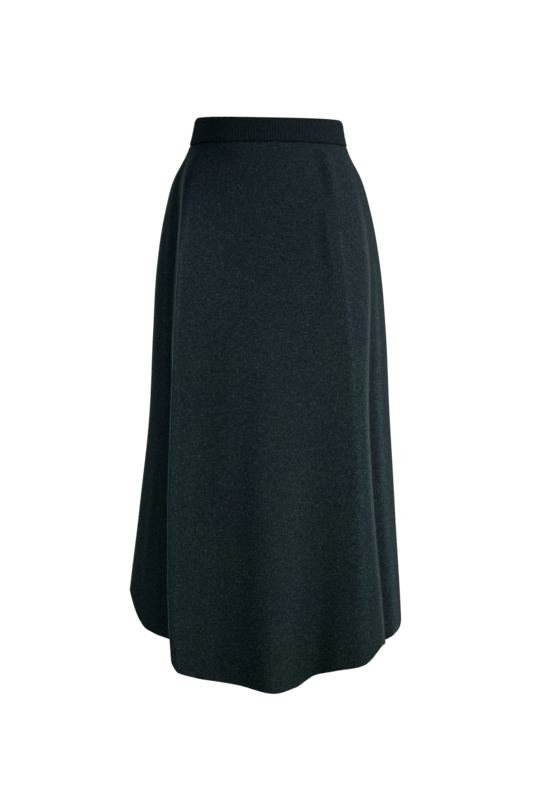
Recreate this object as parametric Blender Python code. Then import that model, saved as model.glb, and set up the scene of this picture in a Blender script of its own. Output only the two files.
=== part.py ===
"""A midi skirt of milled wool knit, held open as if it were worn, on a fine-rib waistband.

Metres, +Z up, the wearer's front towards -Y. The origin is the centre of the waistband, at half its height.

The cloth hangs in long folds. FOLD_LINES has one row for each ridge, hollow or edge that runs down the skirt.
A row says where its line stands, as a share of the skirt's half width and half depth, and SECTIONS gives
those half sizes for every height. The wall is a smooth surface through all the lines.
"""

from collections import namedtuple
from math import cos, radians, sin

import bmesh
import bpy
import numpy as np

NAME = "tulip_skirt"

# Walls and seams
PANEL_WALL = 0.0020
BAND_WALL = 0.0026
SEAM_GAP = 0.0003

# Waistband: half its height, how its top edge and its seam run, and its knit
BAND_HALF_HEIGHT = 0.0191
BAND_TOP_TILT = 0.0022
BAND_SIDE_RISE = 0.0032
WAIST_SEAM_TILT = 0.0008
WAIST_SEAM_RISE = 0.0015
RIBS = 160
RIB_HEIGHT = 0.0007
TOP_EDGE_DEPTH = 0.0040
TOP_EDGE_INSET = 0.0012
WAIST_SQUARENESS = 2.15

# Half sizes of the whole outline, measured from the origin
Section = namedtuple("Section", "z left right front back")
SECTIONS = (
    Section(z=0.019, left=0.1132, right=0.1135, front=0.084, back=0.086),
    Section(z=-0.025, left=0.1238, right=0.1222, front=0.088, back=0.090),
    Section(z=-0.070, left=0.1472, right=0.1440, front=0.097, back=0.106),
    Section(z=-0.118, left=0.1595, right=0.1575, front=0.102, back=0.117),
    Section(z=-0.203, left=0.1720, right=0.1722, front=0.108, back=0.127),
    Section(z=-0.303, left=0.1780, right=0.1808, front=0.115, back=0.131),
    Section(z=-0.433, left=0.1845, right=0.1866, front=0.124, back=0.135),
    Section(z=-0.578, left=0.2000, right=0.1952, front=0.134, back=0.139),
    Section(z=-0.763, left=0.2200, right=0.2052, front=0.141, back=0.143),
    Section(z=-0.853, left=0.2230, right=0.2060, front=0.137, back=0.140),
)

# Heights at which a fold line's place is given: on the waist's oval first, then as shares of the half sizes
WAIST_LEVEL = -0.025
HIP_LEVEL = -0.123
KNEE_LEVEL = -0.443
HEM_LEVEL = -0.763

# around: degrees from the centre front, towards the right. hip, knee, hem: shares in x and y.
# bottom: height of the hem there. columns: strips of the wall from this line to the next.
FoldLine = namedtuple("FoldLine", "name around hip knee hem bottom columns")
FOLD_LINES = (
    FoldLine("left_seam", -98, (-1.000, 0.06), (-1.000, 0.04), (-1.000, 0.06), -0.703, 2),
    FoldLine("left_lobe", -92, (-0.985, -0.13), (-0.960, -0.20), (-0.885, -0.26), -0.750, 2),
    FoldLine("left_cheek", -82, (-0.940, -0.30), (-0.880, -0.38), (-0.785, -0.44), -0.764, 2),
    FoldLine("left_valley", -74, (-0.860, -0.42), (-0.740, -0.54), (-0.640, -0.60), -0.775, 4),
    FoldLine("left_crest", -66, (-0.826, -0.86), (-0.797, -1.030), (-0.662, -1.00), -0.7890, 3),
    FoldLine("left_corner", -62, (-0.814, -0.950), (-0.789, -1.092), (-0.657, -1.070), -0.8036, 3),
    FoldLine("left_edge", -53, (-0.768, -0.990), (-0.756, -1.112), (-0.625, -1.092), -0.8153, 4),
    FoldLine("left_panel", -40, (-0.600, -0.988), (-0.550, -1.080), (-0.464, -1.050), -0.8252, 4),
    FoldLine("left_front", -22, (-0.370, -0.995), (-0.310, -1.075), (-0.206, -1.07), -0.8342, 5),
    FoldLine("centre_ridge", 1, (0.020, -1.00), (0.040, -1.09), (0.063, -1.17), -0.8456, 4),
    FoldLine("centre_slope", 15, (0.270, -0.99), (0.300, -1.03), (0.257, -1.06), -0.8374, 4),
    FoldLine("right_hollow", 24, (0.420, -0.98), (0.460, -1.00), (0.375, -1.02), -0.8203, 3),
    FoldLine("right_rise", 32, (0.560, -0.955), (0.600, -0.995), (0.522, -1.10), -0.8122, 3),
    FoldLine("right_front", 40, (0.670, -0.915), (0.715, -0.985), (0.715, -1.13), -0.8025, 4),
    FoldLine("right_crest", 60, (0.890, -0.62), (0.787, -0.93), (0.837, -0.98), -0.7755, 4),
    FoldLine("right_valley", 67, (0.925, -0.44), (0.815, -0.38), (0.860, -0.30), -0.776, 3),
    FoldLine("right_second", 74, (0.955, -0.32), (0.912, -0.34), (0.950, -0.26), -0.765, 2),
    FoldLine("right_side", 93, (1.000, 0.00), (1.000, 0.02), (1.000, 0.05), -0.744, 2),
    FoldLine("right_seam", 103, (0.985, 0.18), (0.970, 0.20), (0.975, 0.20), -0.733, 3),
    FoldLine("back_right", 116, (0.890, 0.48), (0.880, 0.48), (0.870, 0.51), -0.792, 4),
    FoldLine("back_right_fold", 136, (0.660, 0.79), (0.660, 0.85), (0.660, 0.91), -0.813, 4),
    FoldLine("back_right_hollow", 156, (0.370, 0.93), (0.380, 0.91), (0.390, 0.88), -0.815, 4),
    FoldLine("back_centre", 180, (0.000, 1.00), (0.010, 1.02), (0.020, 1.06), -0.829, 4),
    FoldLine("back_left_hollow", 204, (-0.370, 0.94), (-0.360, 0.92), (-0.350, 0.88), -0.811, 4),
    FoldLine("back_left_fold", 224, (-0.660, 0.79), (-0.640, 0.84), (-0.620, 0.92), -0.792, 4),
    FoldLine("back_left", 244, (-0.900, 0.50), (-0.880, 0.50), (-0.860, 0.55), -0.755, 4),
)
LINE_COUNT = len(FOLD_LINES)
LEFT_SEAM = 0
RIGHT_SEAM = [line.name for line in FOLD_LINES].index("right_seam")

# Rows of the wall, from the waist to the hem
FRONT_ROWS = 20
BACK_ROWS = 16

# Flat grids that become sheets, and how near the ends of a ring are when they are joined
GRID_SIZE = 1.0
WELD = 1e-6

CLOTH_COLOUR = "1C2A2C"
RIB_COLOUR = "26363A"
CLOTH_ROUGHNESS = 0.95


def linear(hex_colour):
    """Scene-linear RGBA of an sRGB colour written as six hex digits."""
    shares = [int(hex_colour[i : i + 2], 16) / 255 for i in (0, 2, 4)]
    return [s / 12.92 if s <= 0.04045 else ((s + 0.055) / 1.055) ** 2.4 for s in shares] + [1.0]


def cloth_material(name, colour):
    material = bpy.data.materials.new(name)
    material.use_nodes = True
    shader = material.node_tree.nodes["Principled BSDF"]
    shader.inputs["Base Color"].default_value = linear(colour)
    shader.inputs["Roughness"].default_value = CLOTH_ROUGHNESS
    shader.inputs["Metallic"].default_value = 0.0
    return material


def hermite(start, end, start_slope, end_slope, t):
    """Cubic from start to end as t goes from 0 to 1, with the slopes given per unit of t."""
    rise = t * t * (3 - 2 * t)
    return (1 - rise) * start + rise * end + t * (1 - t) ** 2 * start_slope - t * t * (1 - t) * end_slope


def spline(knots, values, at):
    """Smooth curve through the values, given at increasing knots, read at one place."""
    steps = np.diff(knots)
    rates = [(b - a) / step for a, b, step in zip(values, values[1:], steps)]
    slopes = [
        (before * step_after + after * step_before) / (step_before + step_after)
        for before, after, step_before, step_after in zip(rates, rates[1:], steps, steps[1:])
    ]
    slopes = [1.5 * rates[0] - 0.5 * slopes[0], *slopes, 1.5 * rates[-1] - 0.5 * slopes[-1]]
    i = int(np.clip(np.searchsorted(knots, at, side="right") - 1, 0, len(steps) - 1))
    t = (at - knots[i]) / steps[i]
    return hermite(values[i], values[i + 1], slopes[i] * steps[i], slopes[i + 1] * steps[i], t)


def around_loop(values, u, turn=0.0):
    """One value of each fold line as a smooth function of u, the place round the skirt counted in lines.
    turn is what the value gains in one full round."""
    wrapped = [values[k % LINE_COUNT] + turn * (k // LINE_COUNT) for k in range(-2, LINE_COUNT + 3)]
    rounds, place = divmod(u, LINE_COUNT)
    return spline(range(-2, LINE_COUNT + 3), wrapped, place) + turn * rounds


def waist_share(around):
    """Where a line leaves the waist, on a slightly squared oval."""
    power = 2 / WAIST_SQUARENESS
    side, front = sin(radians(around)), -cos(radians(around))
    return [np.sign(side) * abs(side) ** power, np.sign(front) * abs(front) ** power]


LEVELS = [-WAIST_LEVEL, -HIP_LEVEL, -KNEE_LEVEL, -HEM_LEVEL]
SHARES = [
    np.array([waist_share(line.around) for line in FOLD_LINES]),
    np.array([line.hip for line in FOLD_LINES]),
    np.array([line.knee for line in FOLD_LINES]),
    np.array([line.hem for line in FOLD_LINES]),
]
DEPTHS = [-section.z for section in SECTIONS]
EXTENTS = [np.array(section[1:]) for section in SECTIONS]


def lines_at(z):
    """The (x, y) of every fold line at one height."""
    left, right, front, back = spline(DEPTHS, EXTENTS, -z)
    centre = np.array([(right - left) / 2, (back - front) / 2])
    half = np.array([(right + left) / 2, (back + front) / 2])
    return centre + half * spline(LEVELS, SHARES, max(-z, LEVELS[0]))


def ring_point(u, z):
    """A point of the outer surface, u lines round the skirt, at height z."""
    lines = lines_at(z)
    i = int(u // 1)
    a, b, c, d = (lines[(i + k) % LINE_COUNT] for k in (-1, 0, 1, 2))
    ab, bc, cd = (np.linalg.norm(gap) ** 0.75 for gap in (b - a, c - b, d - c))
    leaving = ((b - a) / ab * bc + (c - b) / bc * ab) / (ab + bc) * bc
    arriving = ((c - b) / bc * cd + (d - c) / cd * bc) / (bc + cd) * bc
    x, y = hermite(b, c, leaving, arriving, u - i)
    return np.array([x, y, z])


def waist_seam(u):
    around = radians(around_loop([line.around for line in FOLD_LINES], u, turn=360))
    return -BAND_HALF_HEIGHT - WAIST_SEAM_TILT * sin(around) + WAIST_SEAM_RISE * cos(around)


def band_top(u):
    side = sin(radians(around_loop([line.around for line in FOLD_LINES], u, turn=360)))
    return BAND_HALF_HEIGHT - BAND_TOP_TILT * side + BAND_SIDE_RISE * side**2


def hem_height(u):
    return around_loop([line.bottom for line in FOLD_LINES], u)


def skirt_point(u, v):
    """The panels' outer surface, from the waist seam at v = 0 to the hem at v = 1."""
    top = waist_seam(u)
    return ring_point(u, top + v * (hem_height(u) - top))


def band_point(u, v):
    """The waistband's outer surface, from the waist seam at v = 0 to the top edge at v = 1."""
    bottom = waist_seam(u) + SEAM_GAP
    return ring_point(u, bottom + v * (band_top(u) - bottom))


def outward(surface, u, v):
    """Unit normal of a surface, facing away from the wearer. u runs from left to right across the front."""
    du, dv = 0.02, 0.004
    along = surface(u + du, v) - surface(u - du, v)
    rise = surface(u, min(v + dv, 1.0)) - surface(u, max(v - dv, 0.0))
    if rise[2] < 0:
        rise = -rise
    normal = np.cross(along, rise)
    return normal / np.linalg.norm(normal)


def set_points(verts, columns, rows, place):
    """Moves the vertices of a flat grid so that each one stands at place(column, row)."""
    for vert in verts:
        column = round((vert.co.x / GRID_SIZE + 0.5) * (len(columns) - 1))
        row = round((vert.co.y / GRID_SIZE + 0.5) * (len(rows) - 1))
        vert.co = place(columns[column], rows[row])


def wall_object(name, columns, rows, outer, inner, closed, material):
    """A sewn piece: an outer and an inner sheet on the same grid of places, joined along their edges."""
    mesh = bmesh.new()
    for place in (outer, inner):
        made = bmesh.ops.create_grid(
            mesh, x_segments=len(columns) - 1, y_segments=len(rows) - 1, size=GRID_SIZE / 2
        )
        set_points(made["verts"], columns, rows, place)
    if closed:
        bmesh.ops.remove_doubles(mesh, verts=mesh.verts, dist=WELD)
    edges = [edge for edge in mesh.edges if edge.is_boundary]
    heights = [(edge.verts[0].co.z + edge.verts[1].co.z) / 2 for edge in edges]
    middle = (max(heights) + min(heights)) / 2
    upper = [edge for edge, height in zip(edges, heights) if height > middle]
    lower = [edge for edge, height in zip(edges, heights) if height <= middle]
    for rim in (upper, lower) if closed else (edges,):
        bmesh.ops.bridge_loops(mesh, edges=rim)
    bmesh.ops.triangulate(mesh, faces=mesh.faces)
    bmesh.ops.recalc_face_normals(mesh, faces=mesh.faces)
    data = bpy.data.meshes.new(name)
    mesh.to_mesh(data)
    mesh.free()
    data.materials.append(material)
    data.shade_smooth()
    piece = bpy.data.objects.new(name, data)
    bpy.data.collections[NAME].objects.link(piece)
    return piece


def panel(name, start, end, rows, material):
    """A panel between two side seams, each edge half a seam gap back from the seam itself."""
    columns = [start]
    for k in range(start, end):
        strips = FOLD_LINES[k % LINE_COUNT].columns
        columns += [k + strip / strips for strip in range(1, strips + 1)]

    def outer(u, v):
        point = skirt_point(u, v)
        if u in (start, end):
            inward = skirt_point(u + (0.05 if u == start else -0.05), v) - point
            point += inward / np.linalg.norm(inward) * SEAM_GAP / 2
        return point

    def inner(u, v):
        return outer(u, v) - PANEL_WALL * outward(skirt_point, u, v)

    heights = [row / rows for row in range(rows + 1)]
    return wall_object(name, columns, heights, outer, inner, False, material)


def rib_places():
    """Places round the band, two for each rib and evenly spaced along the cloth."""
    fine = 12
    places = [k / fine for k in range(fine * LINE_COUNT + 1)]
    ring = [ring_point(u, 0.0) for u in places]
    lengths = np.concatenate([[0.0], np.cumsum([np.linalg.norm(b - a) for a, b in zip(ring, ring[1:])])])
    return list(np.interp(np.linspace(0, lengths[-1], 2 * RIBS + 1), lengths, places))


def waistband(material):
    columns = rib_places()
    number = {u: k for k, u in enumerate(columns)}
    edge = 1 - TOP_EDGE_DEPTH / (2 * BAND_HALF_HEIGHT)

    def outer(u, v):
        rib = RIB_HEIGHT if number[u] % 2 else 0.0
        inset = TOP_EDGE_INSET if v == 1.0 else 0.0
        return band_point(u, v) + (rib * (1 - (v == 1.0) / 2) - inset) * outward(band_point, u, v)

    def inner(u, v):
        return band_point(u, v) - BAND_WALL * outward(band_point, u, v)

    return wall_object("waistband", columns, [0.0, edge, 1.0], outer, inner, True, material)


def main():
    for obj in list(bpy.data.objects):
        bpy.data.objects.remove(obj, do_unlink=True)
    bpy.context.scene.collection.children.link(bpy.data.collections.new(NAME))
    cloth = cloth_material("milled wool knit", CLOTH_COLOUR)
    ribbing = cloth_material("fine wool rib knit", RIB_COLOUR)
    panel("front_panel", LEFT_SEAM, RIGHT_SEAM, FRONT_ROWS, cloth)
    panel("back_panel", RIGHT_SEAM, LINE_COUNT, BACK_ROWS, cloth)
    waistband(ribbing)


main()
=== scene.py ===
"""A midi skirt of milled wool knit on a fine-rib waistband, filled out as if worn, with its looks.

Metres, +Z up, the front towards -Y, the origin at the centre of the waistband.
"""

from collections import namedtuple
from math import pi, radians, tau

import bmesh
import bpy
import numpy as np
from mathutils import Matrix, Vector, noise


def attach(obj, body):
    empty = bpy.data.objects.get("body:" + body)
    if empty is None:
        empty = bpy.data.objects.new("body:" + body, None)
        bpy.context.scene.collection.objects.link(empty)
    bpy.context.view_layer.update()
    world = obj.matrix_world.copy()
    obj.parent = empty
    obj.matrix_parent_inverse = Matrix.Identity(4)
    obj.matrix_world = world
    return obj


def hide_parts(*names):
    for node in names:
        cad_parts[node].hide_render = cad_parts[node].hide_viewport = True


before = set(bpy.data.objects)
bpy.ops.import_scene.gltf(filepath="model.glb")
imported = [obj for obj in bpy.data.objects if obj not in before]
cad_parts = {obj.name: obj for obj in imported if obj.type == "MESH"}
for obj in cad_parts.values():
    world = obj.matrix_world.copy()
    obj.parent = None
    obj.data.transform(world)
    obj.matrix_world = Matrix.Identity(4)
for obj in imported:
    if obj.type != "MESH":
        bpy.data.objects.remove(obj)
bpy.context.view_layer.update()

# The photograph's height in pixels, its scale at the skirt's middle, and where the camera stands
IMAGE_HEIGHT = 800
CAMERA_DISTANCE = 4.5
CAMERA_HEIGHT = -0.409
CAMERA_ACROSS = -0.0032
METRES_PER_PIXEL = 0.00154
SENSOR = 36.0

# Walls and seams. The groove is the cloth's dip along a side seam, the tuck is its turn under the
# waistband, and the roll is the hem's rounded edge. The side-seam shade is how dark the painted shade in a
# side seam gets, and a shade width is how far from a seam the painted shade reaches.
# Creases start to fade at the last distance from a seam.
PANEL_WALL = 0.0020
SEAM_GAP = 0.0003
GROOVE_DEPTH = 0.0008
GROOVE_WIDTH = 0.0028
SIDE_SEAM_SHADE = 0.25
SIDE_SEAM_SHADE_WIDTH = 0.0014
TUCK_DEPTH = 0.0026
TUCK_WIDTH = 0.0014
TUCK_SHADE_WIDTH = 0.0019
EDGE_ROLL = 0.0009
EDGE_ROLL_WIDTH = 0.0018
CREASE_FADE = 0.02

# Unevenness of the hand-linked waist seam: its length, its usual share, how far that swings, its least
# share, and the share of the tuck that stays even
SEAM_UNEVEN_LENGTH = 0.0045
SEAM_USUAL = 0.65
SEAM_SWING = 1.1
SEAM_LEAST = 0.3
TUCK_STEADY = 0.4

# Linking stitches. Every second one leans further, and each row lies sunk in its seam.
STITCH_LENGTH = 0.0019
STITCH_RADIUS = 0.00045
STITCH_LEANS = (0.30, 0.45)
WAIST_STITCHES = 380
WAIST_STITCH_DEPTH = 0.0012
SIDE_STITCHES = 600
SIDE_STITCH_DEPTH = 0.0014
SIDE_STITCH_SPAN = (0.012, 0.9975)

# Columns and rows of the panels' sheets, and where their rows crowd together under the band and at the hem
FRONT_COLUMNS, FRONT_ROWS = 190, 210
BACK_COLUMNS, BACK_ROWS = 160, 190
TUCK_SHARE = 0.012
HEM_SHARE = 0.99
EDGE_ROWS = 7
MERGE_DISTANCE = 1e-6

# Waistband. Its foot is drawn in by the seam, and its top leans in before it turns over to the inside. The
# ribs are flattened near the seam, full on the outside, and shallow on the inside.
BAND_HALF_HEIGHT = 0.0191
BAND_TOP_TILT = 0.0022
BAND_SIDE_RISE = 0.0032
WAIST_SEAM_TILT = 0.0008
WAIST_SEAM_RISE = 0.0015
BAND_WALL = 0.0028
BAND_TUCK = 0.0010
BAND_TUCK_WIDTH = 0.0012
BAND_LEAN = 0.0014
BAND_LEAN_START = 0.84
BAND_LEAN_SPAN = 0.11
BAND_TURN_START = 0.95
BAND_FOOT = 0.003
BAND_FOOT_SHARE = 0.10
BAND_FOOT_ROWS = 5
BAND_OUTER_ROWS = 12
BAND_TURN_ROWS = 7
BAND_INNER_ROWS = (0.80, 0.55, 0.30, 0.10, 0.0)
RIBS = 160
RIB_HEIGHT = 0.0009
RIB_COLUMNS = 8
RIB_ROUNDNESS = 0.55
RIB_FLATTENED = 0.5
RIB_FLAT_WIDTH = 0.0022
RIB_AT_EDGE = 0.8
RIB_AT_EDGE_SWING = 0.2
RIB_INSIDE = 0.35
# How dark the painted shade at the bottom of each rib valley is
RIB_VALLEY_SHADE = 0.62
WAIST_SQUARENESS = 2.15

# Half sizes of the whole outline, measured from the origin
Section = namedtuple("Section", "z left right front back")
SECTIONS = (
    Section(z=0.019, left=0.1132, right=0.1135, front=0.084, back=0.086),
    Section(z=-0.025, left=0.1238, right=0.1222, front=0.088, back=0.090),
    Section(z=-0.070, left=0.1472, right=0.1440, front=0.097, back=0.106),
    Section(z=-0.118, left=0.1595, right=0.1575, front=0.102, back=0.117),
    Section(z=-0.203, left=0.1720, right=0.1722, front=0.108, back=0.127),
    Section(z=-0.303, left=0.1780, right=0.1808, front=0.115, back=0.131),
    Section(z=-0.433, left=0.1845, right=0.1866, front=0.124, back=0.135),
    Section(z=-0.578, left=0.2000, right=0.1952, front=0.134, back=0.139),
    Section(z=-0.763, left=0.2200, right=0.2052, front=0.141, back=0.143),
    Section(z=-0.853, left=0.2230, right=0.2060, front=0.137, back=0.140),
)

# The long folds: a row for each ridge, hollow or edge that runs down the skirt. around is where it leaves
# the waist, in degrees. hip, knee and hem are shares of the half sizes, in x and y. bottom is the hem's
# height there.
WAIST_LEVEL = -0.025
HIP_LEVEL = -0.123
KNEE_LEVEL = -0.443
HEM_LEVEL = -0.763
FoldLine = namedtuple("FoldLine", "name around hip knee hem bottom")
FOLD_LINES = (
    FoldLine("left_seam", -98, (-1.000, 0.06), (-1.000, 0.04), (-1.000, 0.06), -0.703),
    FoldLine("left_lobe", -92, (-0.985, -0.13), (-0.960, -0.20), (-0.885, -0.26), -0.750),
    FoldLine("left_cheek", -82, (-0.940, -0.30), (-0.880, -0.38), (-0.785, -0.44), -0.764),
    FoldLine("left_valley", -74, (-0.860, -0.42), (-0.740, -0.54), (-0.640, -0.60), -0.775),
    FoldLine("left_crest", -66, (-0.826, -0.86), (-0.797, -1.030), (-0.662, -1.00), -0.7890),
    FoldLine("left_corner", -62, (-0.814, -0.950), (-0.789, -1.092), (-0.657, -1.070), -0.8036),
    FoldLine("left_edge", -53, (-0.768, -0.990), (-0.756, -1.112), (-0.625, -1.092), -0.8153),
    FoldLine("left_panel", -40, (-0.600, -0.988), (-0.550, -1.080), (-0.464, -1.050), -0.8252),
    FoldLine("left_front", -22, (-0.370, -0.995), (-0.310, -1.075), (-0.206, -1.07), -0.8342),
    FoldLine("centre_ridge", 1, (0.020, -1.00), (0.040, -1.09), (0.063, -1.17), -0.8456),
    FoldLine("centre_slope", 15, (0.270, -0.99), (0.300, -1.03), (0.257, -1.06), -0.8374),
    FoldLine("right_hollow", 24, (0.420, -0.98), (0.460, -1.00), (0.375, -1.02), -0.8203),
    FoldLine("right_rise", 32, (0.560, -0.955), (0.600, -0.995), (0.522, -1.10), -0.8122),
    FoldLine("right_front", 40, (0.670, -0.915), (0.715, -0.985), (0.715, -1.13), -0.8025),
    FoldLine("right_crest", 60, (0.890, -0.62), (0.787, -0.93), (0.837, -0.98), -0.7755),
    FoldLine("right_valley", 67, (0.925, -0.44), (0.815, -0.38), (0.860, -0.30), -0.776),
    FoldLine("right_second", 74, (0.955, -0.32), (0.912, -0.34), (0.950, -0.26), -0.765),
    FoldLine("right_side", 93, (1.000, 0.00), (1.000, 0.02), (1.000, 0.05), -0.744),
    FoldLine("right_seam", 103, (0.985, 0.18), (0.970, 0.20), (0.975, 0.20), -0.733),
    FoldLine("back_right", 116, (0.890, 0.48), (0.880, 0.48), (0.870, 0.51), -0.792),
    FoldLine("back_right_fold", 136, (0.660, 0.79), (0.660, 0.85), (0.660, 0.91), -0.813),
    FoldLine("back_right_hollow", 156, (0.370, 0.93), (0.380, 0.91), (0.390, 0.88), -0.815),
    FoldLine("back_centre", 180, (0.000, 1.00), (0.010, 1.02), (0.020, 1.06), -0.829),
    FoldLine("back_left_hollow", 204, (-0.370, 0.94), (-0.360, 0.92), (-0.350, 0.88), -0.811),
    FoldLine("back_left_fold", 224, (-0.660, 0.79), (-0.640, 0.84), (-0.620, 0.92), -0.792),
    FoldLine("back_left", 244, (-0.900, 0.50), (-0.880, 0.50), (-0.860, 0.55), -0.755),
)
LINE_COUNT = len(FOLD_LINES)
LINE_NAMES = [line.name for line in FOLD_LINES]
LEFT_SEAM = 0
CENTRE = LINE_NAMES.index("centre_ridge")
RIGHT_SEAM = LINE_NAMES.index("right_seam")

# How closely the curve between two lines follows their spacing
LINE_PULL = 0.75

# Smaller creases: places along the cloth from the centre ridge, right being positive, and heights. rise
# is how far the crease stands out, or sinks in if negative, and width is from its middle to its foot.
Crease = namedtuple("Crease", "name path rise width")
CREASES = (
    Crease(
        "right hip crease",
        (
            (0.074, -0.027),
            (0.083, -0.033),
            (0.090, -0.041),
            (0.096, -0.070),
            (0.105, -0.101),
            (0.109, -0.117),
        ),
        0.0056,
        0.0110,
    ),
    Crease("right hip hollow", ((0.066, -0.035), (0.079, -0.063), (0.089, -0.108)), -0.0020, 0.011),
    Crease(
        "right thigh crease",
        (
            (0.091, -0.107),
            (0.095, -0.132),
            (0.097, -0.162),
            (0.101, -0.192),
            (0.106, -0.223),
            (0.110, -0.275),
        ),
        0.0030,
        0.009,
    ),
    Crease("right thigh hollow", ((0.080, -0.118), (0.083, -0.168), (0.088, -0.233)), -0.0012, 0.012),
    Crease(
        "left crest roll",
        ((-0.140, -0.130), (-0.147, -0.223), (-0.151, -0.293), (-0.154, -0.363)),
        0.0050,
        0.009,
    ),
    Crease("left waist hollow", ((-0.122, -0.048), (-0.084, -0.039), (-0.040, -0.043)), -0.0026, 0.013),
    Crease("left hip hollow", ((-0.075, -0.083), (-0.070, -0.133), (-0.068, -0.213)), -0.0012, 0.024),
    Crease(
        "front knee swell",
        (
            (-0.010, -0.263),
            (-0.002, -0.378),
            (-0.003, -0.470),
            (0.006, -0.547),
            (0.012, -0.624),
            (0.020, -0.780),
        ),
        0.0050,
        0.030,
    ),
    Crease("front left swell", ((-0.046, -0.283), (-0.046, -0.433), (-0.044, -0.603)), 0.0044, 0.034),
    Crease("front left hollow", ((-0.050, -0.573), (-0.050, -0.693), (-0.046, -0.863)), -0.0020, 0.022),
    Crease("front right hollow", ((0.082, -0.423), (0.084, -0.623), (0.080, -0.883)), -0.0058, 0.029),
    Crease("left lobe crease", ((-0.250, -0.423), (-0.262, -0.563), (-0.275, -0.703)), 0.0016, 0.012),
    Crease("back right crease", ((0.420, -0.043), (0.410, -0.123), (0.405, -0.243)), 0.0018, 0.016),
    Crease("back left crease", ((-0.420, -0.048), (-0.425, -0.153), (-0.430, -0.303)), 0.0020, 0.018),
    Crease("back centre drag", ((0.500, -0.033), (0.520, -0.083), (0.560, -0.133)), 0.0012, 0.014),
)

# How steeply a crease's flanks fall, how it fades towards its ends, and the share left off at each end
CREASE_FLANK = 1.6
CREASE_TAPER = 0.7
CREASE_END = 0.02

# Unevenness of the hanging cloth, drawn out down the skirt
SWAY = 0.0009
SWAY_SIZE = 0.085
SWAY_SQUEEZE = 0.45

# Turning of the cloth round a fold, in radians a metre, from which a painted highlight is laid on it, and
# at which it is laid fully. The painted highlight reaches this far beside the fold, and is full from this
# far below the waist seam.
FOLD_TURN_START = 20.0
FOLD_TURN_FULL = 90.0
CREST_HIGHLIGHT_REACH = 0.0045
CREST_HIGHLIGHT_BELOW = 0.16

# Metres of cloth whose columns are added for each radian that the cloth turns round a fold
FOLD_SHARE = 0.014

# Steps in which lengths along the cloth are measured: between two lines, from a side seam to the centre
# ridge for either panel, and all round
STEPS_A_LINE = 24
FRONT_PATH_STEPS = 240
BACK_PATH_STEPS = 400
ROUND_STEPS = 400

# Finish of the knit, in millimetres. The real clumps of fibres are about 1 mm across, the fibres 0.02 mm,
# and the band's courses, which are its rows of stitches, 1 mm high. They are drawn coarser, because they
# are too fine to show. Patches are where the nap was brushed another way.
GRAIN_MM = 3.0
FIBRE_MM = 1.5
PATCH_MM = 75.0
COURSE_MM = 1.5
YARN_FUZZ_MM = 0.4

# How the nap takes the light: what the painted highlight on a sharp fold adds to its sheen, what the
# painted shade in a seam takes from it, and how much its tufts vary. Then the sheen's colour, and the
# near-black colour of the painted shade in seams and rib valleys.
CREST_HIGHLIGHT_SHEEN = 1.3
SHEEN_LOST_IN_GROOVE_SHADE = 2.2
NAP_TUFTS = 4.0
NAP_COLOUR = "CCCFCB"
GROOVE_SHADE_COLOUR = "020404"

# The cloth is a little greener towards the hem
GREEN_BY_HEIGHT = -0.35

# The studio. A softbox has its place, what it faces, its width and height, its power in watts, how far a
# grid lets its light open, in degrees, and its colour.
FLOOR_LEVEL = -1.35
FLOOR_RADIUS = 30
MIDDLE = (0.0, 0.0, -0.44)
Softbox = namedtuple("Softbox", "name place target size power opening colour")
SOFTBOXES = (
    Softbox("key", (1.20, -0.78, -0.05), MIDDLE, (0.5, 0.7), 6.4, 95, "FFF0EA"),
    Softbox("front fill", (-0.60, -1.35, -0.05), (0.0, 0.0, -0.38), (0.8, 0.8), 1.35, 110, "F8FAFA"),
    Softbox("back fill", (-0.35, 2.2, 0.10), MIDDLE, (1.0, 1.0), 24.0, 180, "F4FAFC"),
)


def linear(hex_colour):
    """Scene-linear RGBA of an sRGB colour written as six hex digits."""
    shares = [int(hex_colour[i : i + 2], 16) / 255 for i in (0, 2, 4)]
    return [s / 12.92 if s <= 0.04045 else ((s + 0.055) / 1.055) ** 2.4 for s in shares] + [1.0]


def hermite(start, end, start_slope, end_slope, t):
    """Cubic from start to end as t goes from 0 to 1, with the slopes given per unit of t."""
    rise = t * t * (3 - 2 * t)
    return (1 - rise) * start + rise * end + t * (1 - t) ** 2 * start_slope - t * t * (1 - t) * end_slope


def deepen(array, like):
    """The array with an axis added at its end for each axis of a single value."""
    return array.reshape(array.shape + (1,) * (like.ndim - 1))


def spline(knots, values, at):
    """Smooth curve through the values, given at increasing knots, read at an array of places."""
    knots, values, at = np.asarray(knots, float), np.asarray(values, float), np.asarray(at, float)
    steps = np.diff(knots)
    rates = np.diff(values, axis=0) / deepen(steps, values)
    share = deepen(steps[:-1] / (steps[:-1] + steps[1:]), values)
    inner = rates[:-1] * (1 - share) + rates[1:] * share
    slopes = np.concatenate([[1.5 * rates[0] - 0.5 * inner[0]], inner, [1.5 * rates[-1] - 0.5 * inner[-1]]])
    i = np.clip(np.searchsorted(knots, at, side="right") - 1, 0, len(steps) - 1)
    t = deepen((at - knots[i]) / steps[i], values)
    step = deepen(steps[i], values)
    return hermite(values[i], values[i + 1], slopes[i] * step, slopes[i + 1] * step, t)


def around_loop(values, u, turn=0.0):
    """One value of each fold line as a smooth function of u, the place round the skirt counted in lines."""
    keys = np.arange(-2, LINE_COUNT + 3)
    wrapped = np.asarray(values, float)[keys % LINE_COUNT] + turn * (keys // LINE_COUNT)
    rounds, place = np.divmod(np.asarray(u, float), LINE_COUNT)
    return spline(keys, wrapped, place) + turn * rounds


def waist_shares():
    """Where the lines leave the waist, on a slightly squared oval."""
    around = np.radians([line.around for line in FOLD_LINES])
    both = np.stack([np.sin(around), -np.cos(around)], -1)
    return np.sign(both) * np.abs(both) ** (2 / WAIST_SQUARENESS)


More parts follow.
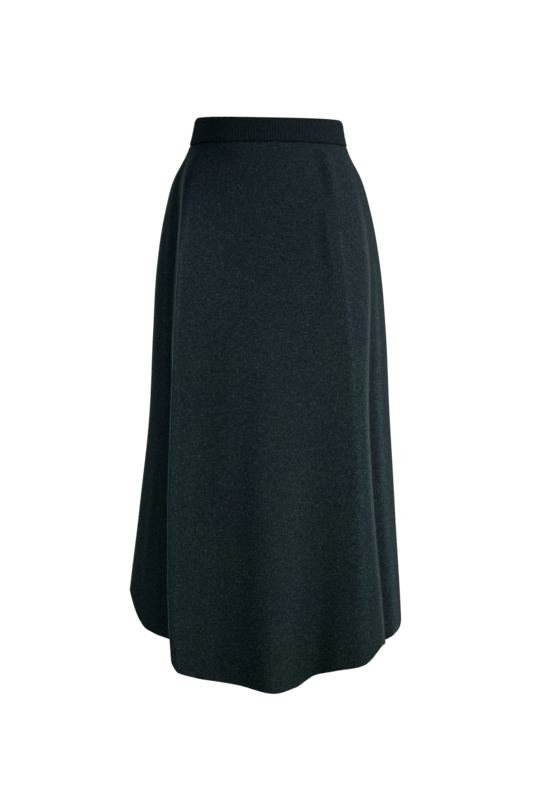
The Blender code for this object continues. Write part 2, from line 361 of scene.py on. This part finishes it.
LEVELS = [-WAIST_LEVEL, -HIP_LEVEL, -KNEE_LEVEL, -HEM_LEVEL]
SHARES = np.array(
    [
        waist_shares(),
        [line.hip for line in FOLD_LINES],
        [line.knee for line in FOLD_LINES],
        [line.hem for line in FOLD_LINES],
    ]
)
DEPTHS = [-section.z for section in SECTIONS]
EXTENTS = [section[1:] for section in SECTIONS]
AROUND = [line.around for line in FOLD_LINES]
BOTTOMS = [line.bottom for line in FOLD_LINES]


def ring_points(u, z):
    """Points of the outer surface, u lines round the skirt, at heights z."""
    u, z = np.broadcast_arrays(np.asarray(u, float), np.asarray(z, float))
    extents = spline(DEPTHS, EXTENTS, -z)
    left, right, front, back = (extents[..., k] for k in range(4))
    centre = np.stack([(right - left) / 2, (back - front) / 2], -1)[..., None, :]
    half = np.stack([(right + left) / 2, (back + front) / 2], -1)[..., None, :]
    lines = centre + half * spline(LEVELS, SHARES, np.maximum(-z, LEVELS[0]))
    i = np.floor(u).astype(int)
    t = (u - i)[..., None]
    a, b, c, d = (
        np.take_along_axis(lines, ((i + k) % LINE_COUNT)[..., None, None], axis=-2)[..., 0, :]
        for k in (-1, 0, 1, 2)
    )
    gaps = (b - a, c - b, d - c)
    ab, bc, cd = (np.linalg.norm(gap, axis=-1, keepdims=True) ** LINE_PULL for gap in gaps)
    leaving = ((b - a) / ab * bc + (c - b) / bc * ab) / (ab + bc) * bc
    arriving = ((c - b) / bc * cd + (d - c) / cd * bc) / (bc + cd) * bc
    flat = hermite(b, c, leaving, arriving, t)
    return np.concatenate([flat, z[..., None]], -1)


def waist_seam(u):
    """Heights of the seam between the band and the panels."""
    around = np.radians(around_loop(AROUND, u, turn=360))
    return -BAND_HALF_HEIGHT - WAIST_SEAM_TILT * np.sin(around) + WAIST_SEAM_RISE * np.cos(around)


def band_top(u):
    """Heights of the band's top edge."""
    side = np.sin(np.radians(around_loop(AROUND, u, turn=360)))
    return BAND_HALF_HEIGHT - BAND_TOP_TILT * side + BAND_SIDE_RISE * side**2


def skirt_points(u, v):
    """The panels' outer surface, from the waist seam at v = 0 to the hem at v = 1."""
    top = waist_seam(u)
    return ring_points(u, top + v * (around_loop(BOTTOMS, u) - top))


def band_points(u, v):
    """The waistband's outer surface, from the waist seam at v = 0 to the top edge at v = 1."""
    bottom = waist_seam(u) + SEAM_GAP
    return ring_points(u, bottom + v * (band_top(u) - bottom))


def outward(surface, u, v):
    """Unit normals of a surface, facing away from the wearer."""
    du, dv = 0.02, 0.004
    along = surface(u + du, v) - surface(u - du, v)
    rise = surface(u, np.minimum(v + dv, 1.0)) - surface(u, np.maximum(v - dv, 0.0))
    rise *= np.sign(rise[..., 2:])
    normal = np.cross(along, rise)
    return normal / np.linalg.norm(normal, axis=-1, keepdims=True)


def ring_lengths(u, heights):
    """Lengths of the outer surface along the places u, at each height."""
    path = ring_points(u[:, None], heights[None, :])
    return np.linalg.norm(np.diff(path, axis=0), axis=-1).sum(axis=0)


def cloth_places(points, u):
    """How far along the cloth each point lies from the centre ridge. The first axis runs round."""
    steps = np.linalg.norm(np.diff(points, axis=0), axis=-1)
    along = np.concatenate([np.zeros((1, points.shape[1])), np.cumsum(steps, axis=0)])
    before = u.min() <= CENTRE
    if before:
        fine = np.linspace(u.min(), CENTRE, FRONT_PATH_STEPS)
    else:
        fine = np.linspace(CENTRE, u.min(), BACK_PATH_STEPS)
    offset = ring_lengths(fine, points[0, :, 2])
    return along + (-offset if before else offset)


def crease_rise(crease, along, height, girth):
    """How far one crease lifts the cloth at each place."""
    path = np.array(crease.path)
    nearest = np.full(along.shape, np.inf)
    taper = np.zeros(along.shape)
    spans = len(path) - 1
    for k, (a, b) in enumerate(zip(path, path[1:])):
        across = (along - a[0] + girth / 2) % girth - girth / 2
        down = height - a[1]
        step = b - a
        t = np.clip((across * step[0] + down * step[1]) / (step @ step), 0, 1)
        distance = np.hypot(across - t * step[0], down - t * step[1])
        closer = distance < nearest
        nearest = np.where(closer, distance, nearest)
        share = np.clip((k + t) / spans, CREASE_END, 1 - CREASE_END)
        taper = np.where(closer, np.sin(pi * share) ** CREASE_TAPER, taper)
    return crease.rise * taper * np.exp(-((nearest / crease.width) ** 2) * CREASE_FLANK)


def sway(points):
    """Slow unevenness of hanging cloth, the same in each run."""
    flat = points.reshape(-1, 3) / SWAY_SIZE
    values = [noise.noise(Vector((x, y, z * SWAY_SQUEEZE))) for x, y, z in flat]
    return SWAY * np.array(values).reshape(points.shape[:-1])


def even_columns(start, end, count, level, fold_share=0.0):
    """Places round the skirt, evenly spaced along the cloth at one height but closer on sharp folds."""
    fine = np.linspace(start, end, STEPS_A_LINE * (end - start) + 1)
    steps = np.diff(ring_points(fine, np.full_like(fine, level))[:, :2], axis=0)
    heading = np.unwrap(np.arctan2(steps[:, 1], steps[:, 0]))
    spans = np.linalg.norm(steps, axis=-1) + fold_share * np.abs(np.gradient(heading))
    passed = np.concatenate([[0.0], np.cumsum(spans)])
    return np.interp(np.linspace(0, passed[-1], count + 1), passed, fine)


def sheet_mesh(name, points, places, groove_shade, crest_highlight, closed=False):
    """A mesh from a grid operator, moved to points[column, row], with its UV map in metres along the cloth.

    The two masks are painted: the shade mask is 1 in a seam or rib valley, and the highlight mask is 1 on a
    sharp fold.
    """
    columns, rows = points.shape[0] - 1, points.shape[1] - 1
    grid = bmesh.new()
    bmesh.ops.create_grid(grid, x_segments=columns, y_segments=rows, size=0.5)
    uv_layer = grid.loops.layers.uv.new("cloth")
    groove_shade_layer = grid.verts.layers.float.new("groove_shade")
    crest_highlight_layer = grid.verts.layers.float.new("crest_highlight")
    seats = {
        vert: (round((vert.co.x + 0.5) * columns), round((vert.co.y + 0.5) * rows)) for vert in grid.verts
    }
    for face in grid.faces:
        for loop in face.loops:
            loop[uv_layer].uv = places[seats[loop.vert]]
    for vert, seat in seats.items():
        vert.co = points[seat]
        vert[groove_shade_layer] = groove_shade[seat]
        vert[crest_highlight_layer] = crest_highlight[seat]
    if closed:
        bmesh.ops.remove_doubles(grid, verts=grid.verts, dist=MERGE_DISTANCE)
    bmesh.ops.recalc_face_normals(grid, faces=grid.faces)
    mesh = bpy.data.meshes.new(name)
    grid.to_mesh(mesh)
    grid.free()
    mesh.shade_smooth()
    return mesh


def crest_highlight_mask(points):
    """Painted highlight on sharp folds: 1 on a sharp outward fold, falling to 0 beside it."""
    flat = np.gradient(points[..., :2], axis=0)
    lengths = np.linalg.norm(flat, axis=-1)
    heading = np.unwrap(np.arctan2(flat[..., 1], flat[..., 0]), axis=0)
    turning = np.gradient(heading, axis=0) / lengths
    sharp = np.clip((turning - FOLD_TURN_START) / (FOLD_TURN_FULL - FOLD_TURN_START), 0, 1)
    along = np.cumsum(lengths, axis=0)
    near = np.exp(-(((along[:, None] - along[None, :]) / CREST_HIGHLIGHT_REACH) ** 2))
    return (near * sharp[None, :]).max(axis=1)


def new_piece(name, mesh, material):
    """Puts a mesh in the scene as a piece of the skirt's one body."""
    piece = bpy.data.objects.new(name, mesh)
    bpy.context.scene.collection.objects.link(piece)
    mesh.materials.append(material)
    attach(piece, "root")
    return piece


def facing_out(mesh):
    """Turns the sheet over if its faces look towards the wearer."""
    face = mesh.polygons[len(mesh.polygons) // 2]
    middle = Vector(face.center)
    if face.normal.dot(Vector((middle.x, middle.y, 0))) < 0:
        mesh.flip_normals()


def panel(name, node, start, end, columns, rows, material):
    """A panel between two side seams, finer than its solid, with its creases, seams and hem edge."""
    u = even_columns(start, end, columns, KNEE_LEVEL, FOLD_SHARE)
    under_band = np.linspace(0, TUCK_SHARE, EDGE_ROWS)
    at_hem = np.linspace(HEM_SHARE, 1, EDGE_ROWS)
    v = np.concatenate([under_band[:-1], np.linspace(TUCK_SHARE, HEM_SHARE, rows), at_hem[1:]])
    uu, vv = np.meshgrid(u, v, indexing="ij")
    points = skirt_points(uu, vv)
    normals = outward(skirt_points, uu, vv)
    along = cloth_places(points, u)
    girth = ring_lengths(np.linspace(0, LINE_COUNT, ROUND_STEPS), points[0, :, 2])[None, :]
    height = points[..., 2]
    lift = sway(points)
    for crease in CREASES:
        lift = lift + crease_rise(crease, along, height, girth)
    drops = np.linalg.norm(np.diff(points, axis=1), axis=-1)
    down = np.concatenate([np.zeros((len(u), 1)), np.cumsum(drops, axis=1)], axis=1)
    # Painted highlight along sharp folds, faded in below the waist seam
    crest_highlight = crest_highlight_mask(points) * np.clip(down / CREST_HIGHLIGHT_BELOW, 0, 1) ** 2
    ragged = unevenness(along[:, 0])
    left = along - along[:1]
    right = along[-1:] - along
    swing = (1 - TUCK_STEADY) * ragged
    edges = [
        (left, GROOVE_DEPTH, GROOVE_WIDTH),
        (right, GROOVE_DEPTH, GROOVE_WIDTH),
        (down, TUCK_DEPTH * (TUCK_STEADY + swing), TUCK_WIDTH * (1 - TUCK_STEADY + swing)),
    ]
    fade = np.clip(np.minimum.reduce([left, right, down]) / CREASE_FADE, 0, 1)
    lift = lift * fade
    for distance, depth, width in edges:
        lift = lift - depth * np.exp(-((distance / width) ** 2))
    to_hem = down[:, -1:] - down
    lift = lift - EDGE_ROLL * np.clip(1 - to_hem / EDGE_ROLL_WIDTH, 0, 1) ** 2
    points = points + lift[..., None] * normals
    # Painted shade in the waist seam under the band and along the side seams
    band_seam_shade = ragged * np.exp(-((down / TUCK_SHADE_WIDTH) ** 2))
    side_seam_shade = SIDE_SEAM_SHADE * np.exp(-((np.minimum(left, right) / SIDE_SEAM_SHADE_WIDTH) ** 2))
    for column, inner_column in ((0, 1), (-1, -2)):
        inward = points[inner_column] - points[column]
        inward /= np.linalg.norm(inward, axis=-1, keepdims=True)
        points[column] += inward * SEAM_GAP / 2
    places = np.stack([along, -down], -1)
    mesh = sheet_mesh(name, points, places, np.minimum(band_seam_shade + side_seam_shade, 1.0), crest_highlight * fade)
    facing_out(mesh)
    piece = new_piece(name, mesh, material)
    wall = piece.modifiers.new("wall", "SOLIDIFY")
    wall.thickness = PANEL_WALL
    wall.offset = -1
    wall.use_even_offset = True
    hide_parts(node)
    return piece


def stitches(name, places, along, out, material):
    """A row of short linking stitches, each a bar of yarn lying at its place and leaning on the next."""
    one = bmesh.new()
    bmesh.ops.create_uvsphere(one, u_segments=8, v_segments=5, radius=1.0)
    bmesh.ops.scale(one, verts=one.verts, vec=(STITCH_LENGTH / 2, STITCH_RADIUS, STITCH_RADIUS))
    bar = bpy.data.meshes.new("stitch")
    one.to_mesh(bar)
    one.free()
    row = bmesh.new()
    for k, (place, forward, face) in enumerate(zip(places, along, out)):
        side = np.cross(face, forward)
        lean = forward + STITCH_LEANS[k % 2] * side
        lean /= np.linalg.norm(lean)
        axes = Matrix((lean, np.cross(face, lean), face)).transposed()
        turned = bar.copy()
        turned.transform(Matrix.Translation(place) @ axes.to_4x4())
        row.from_mesh(turned)
        bpy.data.meshes.remove(turned)
    bpy.data.meshes.remove(bar)
    mesh = bpy.data.meshes.new(name)
    row.to_mesh(mesh)
    row.free()
    mesh.shade_smooth()
    return new_piece(name, mesh, material)


def unevenness(along):
    """Unevenness along a hand-linked seam, 0 to 1, the same in each run."""
    values = [noise.noise(Vector((place / SEAM_UNEVEN_LENGTH, 0.0, 0.0))) for place in along]
    return np.clip(SEAM_USUAL + SEAM_SWING * np.array(values), SEAM_LEAST, 1.0)[:, None]


def seam_row(surface, u, v, depth):
    """Places, directions and facings of a row of stitches sunk into a surface."""
    points = surface(u, v)
    normals = outward(surface, u, v)
    along = np.gradient(points, axis=0)
    along /= np.linalg.norm(along, axis=-1, keepdims=True)
    return points - depth * normals, along, normals


def rib_profile(phase):
    """Height of a rounded rib over one repeat, 0 in the groove and 1 on top."""
    return np.abs(np.sin(pi * phase)) ** RIB_ROUNDNESS


def waistband(material):
    """The rib band: ribs outside and over the top edge, and shallower ones down the inside."""
    count = RIBS * RIB_COLUMNS
    u = even_columns(0, LINE_COUNT, count, 0.0)
    ribs = rib_profile(np.arange(count + 1) / RIB_COLUMNS)
    foot_rows = np.linspace(0, BAND_FOOT_SHARE, BAND_FOOT_ROWS)
    upper_rows = np.linspace(BAND_FOOT_SHARE, BAND_TURN_START, BAND_OUTER_ROWS)
    outer_rows = np.concatenate([foot_rows[:-1], upper_rows])
    turn = np.linspace(0, pi, BAND_TURN_ROWS)
    rows = []
    radius = BAND_WALL / 2
    height = 2 * BAND_HALF_HEIGHT
    for v in outer_rows:
        foot = BAND_TUCK * np.exp(-((v * height / BAND_TUCK_WIDTH) ** 2))
        top = BAND_LEAN * np.clip((v - BAND_LEAN_START) / BAND_LEAN_SPAN, 0, 1) ** 2
        rows.append((v, -(foot + top), 1.0 - RIB_FLATTENED * np.exp(-((v * height / RIB_FLAT_WIDTH) ** 2))))
    for angle in turn:
        depth = BAND_LEAN + radius * (1 - np.cos(angle))
        rise = BAND_TURN_START + (1 - BAND_TURN_START) * np.sin(angle)
        rows.append((rise, -depth, RIB_AT_EDGE + RIB_AT_EDGE_SWING * np.cos(2 * angle)))
    for v in BAND_INNER_ROWS:
        rows.append((v, -BAND_WALL, RIB_INSIDE))
    v = np.array([row[0] for row in rows])
    depth = np.array([row[1] for row in rows])
    ribbing = np.array([row[2] for row in rows])
    uu, vv = np.meshgrid(u, v, indexing="ij")
    points = band_points(uu, vv)
    normals = outward(band_points, uu, vv)
    facing = np.ones(len(rows))
    facing[len(outer_rows) + len(turn) // 2 :] = -1
    lift = depth[None, :] + RIB_HEIGHT * ribbing * facing * ribs[:, None]
    points = points + lift[..., None] * normals
    steps = np.linalg.norm(np.diff(band_points(u, 0.5), axis=0), axis=-1)
    along = np.concatenate([[0.0], np.cumsum(steps)])
    down = np.concatenate([[0.0], np.cumsum(np.linalg.norm(np.diff(points[0], axis=0), axis=-1))])
    places = np.stack(np.meshgrid(along, down, indexing="ij"), -1)
    points = np.concatenate([points, points[:, :1]], axis=1)
    places = np.concatenate([places, places[:, -1:] + [[[0, BAND_FOOT]]]], axis=1)
    # Painted shade in the seam under the band and in the bottoms of the rib valleys
    in_seam = np.exp(-((vv * height / BAND_TUCK_WIDTH) ** 2))
    groove_shade = np.where(np.arange(len(v)) < len(outer_rows), in_seam, 0.0) * unevenness(along)
    valley = RIB_VALLEY_SHADE * (1 - ribs[:, None]) ** 1.5 * ribbing[None, :] ** 2
    groove_shade = np.minimum(np.maximum(groove_shade, valley), 1.0)
    groove_shade = np.concatenate([groove_shade, groove_shade[:, :1]], axis=1)
    mesh = sheet_mesh("rib_band", points, places, groove_shade, np.zeros_like(groove_shade), closed=True)
    piece = new_piece("rib_band", mesh, material)
    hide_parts("waistband")
    return piece


def add_node(tree, kind, settings=(), links=(), stops=()):
    """Adds a shader node. settings are (input or property, value), and links are (input, output socket).

    stops are the (place, colour) pairs of a colour ramp.
    """
    node = tree.nodes.new(kind)
    for key, value in settings:
        if isinstance(key, int) or key in node.inputs:
            node.inputs[key].default_value = value
        else:
            setattr(node, key, value)
    for key, socket in links:
        tree.links.new(socket, node.inputs[key])
    for k, (position, colour) in enumerate(stops):
        elements = node.color_ramp.elements
        element = elements[k] if k < len(elements) else elements.new(position)
        element.position = position
        element.color = linear(colour)
    return node


def wool_material(name, stops, cool, green, sheen, courses):
    """Wool knit, washed and brushed until its fibres stand in a short matted nap.

    The nap makes it matt and speckled, and pale where it is seen edge on. Along sharp folds a painted
    highlight lightens its colour and adds to its sheen, and in seams and rib valleys painted shade darkens
    it and takes its sheen away.
    """
    material = bpy.data.materials.new(name)
    material.use_nodes = True
    tree = material.node_tree
    shader = tree.nodes["Principled BSDF"]
    place = add_node(tree, "ShaderNodeTexCoord")
    at = place.outputs["Object"]
    grain = add_node(
        tree,
        "ShaderNodeTexNoise",
        [("Scale", 1000 / GRAIN_MM), ("Detail", 3.0), ("Roughness", 0.62), ("Distortion", 0.35)],
        [("Vector", at)],
    )
    fibres = add_node(
        tree,
        "ShaderNodeTexNoise",
        [("Scale", 1000 / FIBRE_MM), ("Detail", 3.0), ("Roughness", 0.7), ("Distortion", 0.8)],
        [("Vector", at)],
    )
    mixed = add_node(
        tree,
        "ShaderNodeMix",
        [("data_type", "FLOAT"), (0, 0.55)],
        [(2, grain.outputs["Fac"]), (3, fibres.outputs["Fac"])],
    )
    speckle = add_node(tree, "ShaderNodeValToRGB", links=[("Fac", mixed.outputs[0])], stops=stops)
    patches = add_node(
        tree, "ShaderNodeTexNoise", [("Scale", 1000 / PATCH_MM), ("Detail", 2.0)], [("Vector", at)]
    )
    level = add_node(tree, "ShaderNodeSeparateXYZ", links=[("Vector", at)])
    lower = add_node(
        tree,
        "ShaderNodeMath",
        [("operation", "MULTIPLY_ADD"), (1, GREEN_BY_HEIGHT)],
        [(0, level.outputs["Z"]), (2, patches.outputs["Fac"])],
    )
    tint = add_node(
        tree, "ShaderNodeValToRGB", links=[("Fac", lower.outputs[0])], stops=((0.46, cool), (0.82, green))
    )
    shade = add_node(
        tree,
        "ShaderNodeMix",
        [("data_type", "RGBA"), ("blend_type", "MULTIPLY"), (0, 1.0)],
        [(6, speckle.outputs["Color"]), (7, tint.outputs["Color"])],
    )
    # Painted highlight: along sharp folds the colour is doubled
    crest_highlight = add_node(tree, "ShaderNodeAttribute", [("attribute_name", "crest_highlight")])
    highlighted_colour = add_node(
        tree,
        "ShaderNodeMix",
        [("data_type", "RGBA"), ("blend_type", "ADD")],
        [(0, crest_highlight.outputs["Fac"]), (6, shade.outputs[2]), (7, shade.outputs[2])],
    )
    # Painted shade: in seams and rib valleys the colour goes towards near black
    groove_shade = add_node(tree, "ShaderNodeAttribute", [("attribute_name", "groove_shade")])
    shaded_colour = add_node(
        tree,
        "ShaderNodeMix",
        [("data_type", "RGBA"), ("blend_type", "MIX"), (7, linear(GROOVE_SHADE_COLOUR))],
        [(0, groove_shade.outputs["Fac"]), (6, highlighted_colour.outputs[2])],
    )
    tree.links.new(shaded_colour.outputs[2], shader.inputs["Base Color"])
    # Painted highlight: sharp folds also get more sheen
    crest_sheen = add_node(
        tree,
        "ShaderNodeMath",
        [("operation", "MULTIPLY_ADD"), (1, CREST_HIGHLIGHT_SHEEN), (2, sheen)],
        [(0, crest_highlight.outputs["Fac"])],
    )
    tufts = add_node(
        tree,
        "ShaderNodeMath",
        [("operation", "MULTIPLY_ADD"), (1, NAP_TUFTS), (2, 1 - NAP_TUFTS / 2)],
        [(0, mixed.outputs[0])],
    )
    uneven = add_node(
        tree,
        "ShaderNodeMath",
        [("operation", "MULTIPLY")],
        [(0, crest_sheen.outputs[0]), (1, tufts.outputs[0])],
    )
    # Painted shade also takes the sheen away in seams and rib valleys
    sheen_left = add_node(
        tree,
        "ShaderNodeMath",
        [("operation", "MULTIPLY_ADD"), (1, -SHEEN_LOST_IN_GROOVE_SHADE), (2, 1.0), ("use_clamp", True)],
        [(0, groove_shade.outputs["Fac"])],
    )
    nap_weight = add_node(
        tree,
        "ShaderNodeMath",
        [("operation", "MULTIPLY"), ("use_clamp", True)],
        [(0, uneven.outputs[0]), (1, sheen_left.outputs[0])],
    )
    tree.links.new(nap_weight.outputs[0], shader.inputs["Sheen Weight"])
    shader.inputs["Roughness"].default_value = 1.0
    shader.inputs["Specular IOR Level"].default_value = 0.12
    shader.inputs["Sheen Roughness"].default_value = 0.42
    shader.inputs["Sheen Tint"].default_value = linear(NAP_COLOUR)
    nap = add_node(
        tree,
        "ShaderNodeBump",
        [("Strength", 0.55), ("Distance", 0.0006)],
        [("Height", fibres.outputs["Fac"])],
    )
    lumps = add_node(
        tree,
        "ShaderNodeBump",
        [("Strength", 0.5), ("Distance", 0.0012)],
        [("Height", grain.outputs["Fac"]), ("Normal", nap.outputs["Normal"])],
    )
    last = lumps
    if courses:
        uv = add_node(tree, "ShaderNodeUVMap", [("uv_map", "cloth")])
        split = add_node(tree, "ShaderNodeSeparateXYZ", links=[("Vector", uv.outputs["UV"])])
        course = add_node(
            tree,
            "ShaderNodeMath",
            [("operation", "MULTIPLY"), (1, tau * 1000 / COURSE_MM)],
            [(0, split.outputs["Y"])],
        )
        ripple = add_node(tree, "ShaderNodeMath", [("operation", "SINE")], [(0, course.outputs[0])])
        last = add_node(
            tree,
            "ShaderNodeBump",
            [("Strength", 0.25), ("Distance", 0.0003)],
            [("Height", ripple.outputs[0]), ("Normal", lumps.outputs["Normal"])],
        )
    tree.links.new(last.outputs["Normal"], shader.inputs["Normal"])
    return material


def yarn_material(name, colour):
    """The two-ply wool yarn that links the pieces, spun and left unbrushed: matt, with a little fuzz."""
    material = bpy.data.materials.new(name)
    material.use_nodes = True
    tree = material.node_tree
    shader = tree.nodes["Principled BSDF"]
    shader.inputs["Base Color"].default_value = linear(colour)
    shader.inputs["Roughness"].default_value = 0.95
    shader.inputs["Specular IOR Level"].default_value = 0.1
    place = add_node(tree, "ShaderNodeTexCoord")
    fuzz = add_node(
        tree,
        "ShaderNodeTexNoise",
        [("Scale", 1000 / YARN_FUZZ_MM), ("Detail", 2.0)],
        [("Vector", place.outputs["Object"])],
    )
    bump = add_node(
        tree,
        "ShaderNodeBump",
        [("Strength", 0.6), ("Distance", 0.0002)],
        [("Height", fuzz.outputs["Fac"])],
    )
    tree.links.new(bump.outputs["Normal"], shader.inputs["Normal"])
    return material


def area_light(box):
    """Sets up one softbox and turns it to what it faces."""
    data = bpy.data.lights.new(box.name, "AREA")
    data.spread = radians(box.opening)
    data.shape = "RECTANGLE"
    data.size, data.size_y = box.size
    data.energy = box.power
    data.color = linear(box.colour)[:3]
    light = bpy.data.objects.new(box.name, data)
    light.location = box.place
    light.rotation_euler = (Vector(box.target) - Vector(box.place)).to_track_quat("-Z", "Y").to_euler()
    bpy.context.scene.collection.objects.link(light)


def studio():
    """The even background, the softboxes, a pale floor far below, and the camera."""
    scene = bpy.context.scene
    world = bpy.data.worlds.new("studio")
    scene.world = world
    world.use_nodes = True
    tree = world.node_tree
    background = tree.nodes["Background"]
    background.inputs["Color"].default_value = linear("B8FAFC")
    background.inputs["Strength"].default_value = 0.175
    shown = add_node(tree, "ShaderNodeBackground", [("Color", linear("FFFFFF")), ("Strength", 1.05)])
    path = add_node(tree, "ShaderNodeLightPath")
    mixed = add_node(
        tree,
        "ShaderNodeMixShader",
        links=[(0, path.outputs["Is Camera Ray"]), (1, background.outputs[0]), (2, shown.outputs[0])],
    )
    tree.links.new(mixed.outputs[0], tree.nodes["World Output"].inputs["Surface"])

    floor_mesh = bmesh.new()
    bmesh.ops.create_circle(floor_mesh, cap_ends=True, segments=96, radius=FLOOR_RADIUS)
    bmesh.ops.translate(floor_mesh, verts=floor_mesh.verts, vec=(0, 0, FLOOR_LEVEL))
    data = bpy.data.meshes.new("floor")
    floor_mesh.to_mesh(data)
    floor_mesh.free()
    floor = bpy.data.objects.new("floor", data)
    scene.collection.objects.link(floor)
    # Matt floor paint, rolled on: it has no gloss, and to the camera it is as bright as the background
    paint = bpy.data.materials.new("pale studio floor paint")
    paint.use_nodes = True
    tree = paint.node_tree
    shader = tree.nodes["Principled BSDF"]
    shader.inputs["Base Color"].default_value = linear("9A9A9A")
    shader.inputs["Roughness"].default_value = 0.9
    glow = add_node(tree, "ShaderNodeEmission", [("Color", linear("FFFFFF")), ("Strength", 1.0)])
    dark = add_node(tree, "ShaderNodeEmission", [("Strength", 0.0)])
    path = add_node(tree, "ShaderNodeLightPath")
    lit = add_node(
        tree,
        "ShaderNodeMixShader",
        links=[(0, path.outputs["Is Camera Ray"]), (1, dark.outputs[0]), (2, glow.outputs[0])],
    )
    both = add_node(tree, "ShaderNodeAddShader", links=[(0, shader.outputs[0]), (1, lit.outputs[0])])
    tree.links.new(both.outputs[0], tree.nodes["Material Output"].inputs["Surface"])
    data.materials.append(paint)

    for box in SOFTBOXES:
        area_light(box)

    camera_data = bpy.data.cameras.new("camera")
    camera_data.sensor_fit = "VERTICAL"
    camera_data.sensor_height = SENSOR
    camera_data.lens = SENSOR * CAMERA_DISTANCE / (METRES_PER_PIXEL * IMAGE_HEIGHT)
    camera = bpy.data.objects.new("camera", camera_data)
    camera.location = (CAMERA_ACROSS, -CAMERA_DISTANCE, CAMERA_HEIGHT)
    camera.rotation_euler = (pi / 2, 0, 0)
    scene.collection.objects.link(camera)
    scene.camera = camera
    scene.view_settings.view_transform = "Standard"


# The panels' knit is milled, which is a hot wash that mats it: its stitches no longer show, and the nap is
# full
cloth = wool_material(
    "milled wool knit",
    stops=((0.34, "0C1517"), (0.48, "19252A"), (0.58, "263539"), (0.70, "43555A")),
    cool="E6EEFF",
    green="E6FFF4",
    sheen=0.29,
    courses=False,
)
# The band is a rib of finer yarn, only lightly brushed: a darker, more even knit whose courses still show
ribbing = wool_material(
    "fine wool rib knit",
    stops=((0.28, "0A1316"), (0.50, "172328"), (0.72, "2D3E43")),
    cool="EAF2FF",
    green="E8FFF8",
    sheen=0.30,
    courses=True,
)
front = panel("front_cloth", "front_panel", LEFT_SEAM, RIGHT_SEAM, FRONT_COLUMNS, FRONT_ROWS, cloth)
back = panel("back_cloth", "back_panel", RIGHT_SEAM, LINE_COUNT, BACK_COLUMNS, BACK_ROWS, cloth)
band = waistband(ribbing)
thread = yarn_material("dark wool linking yarn", "162124")
loops = even_columns(0, LINE_COUNT, WAIST_STITCHES, WAIST_LEVEL)[:-1]
waist_row = seam_row(skirt_points, loops, np.zeros_like(loops), WAIST_STITCH_DEPTH)
stitches("waist_linking", *waist_row, thread)
drop = np.linspace(*SIDE_STITCH_SPAN, SIDE_STITCHES)
for name, line in (("left_linking", LEFT_SEAM), ("right_linking", RIGHT_SEAM)):
    side_row = seam_row(skirt_points, np.full_like(drop, line), drop, SIDE_STITCH_DEPTH)
    stitches(name, *side_row, thread)
studio()
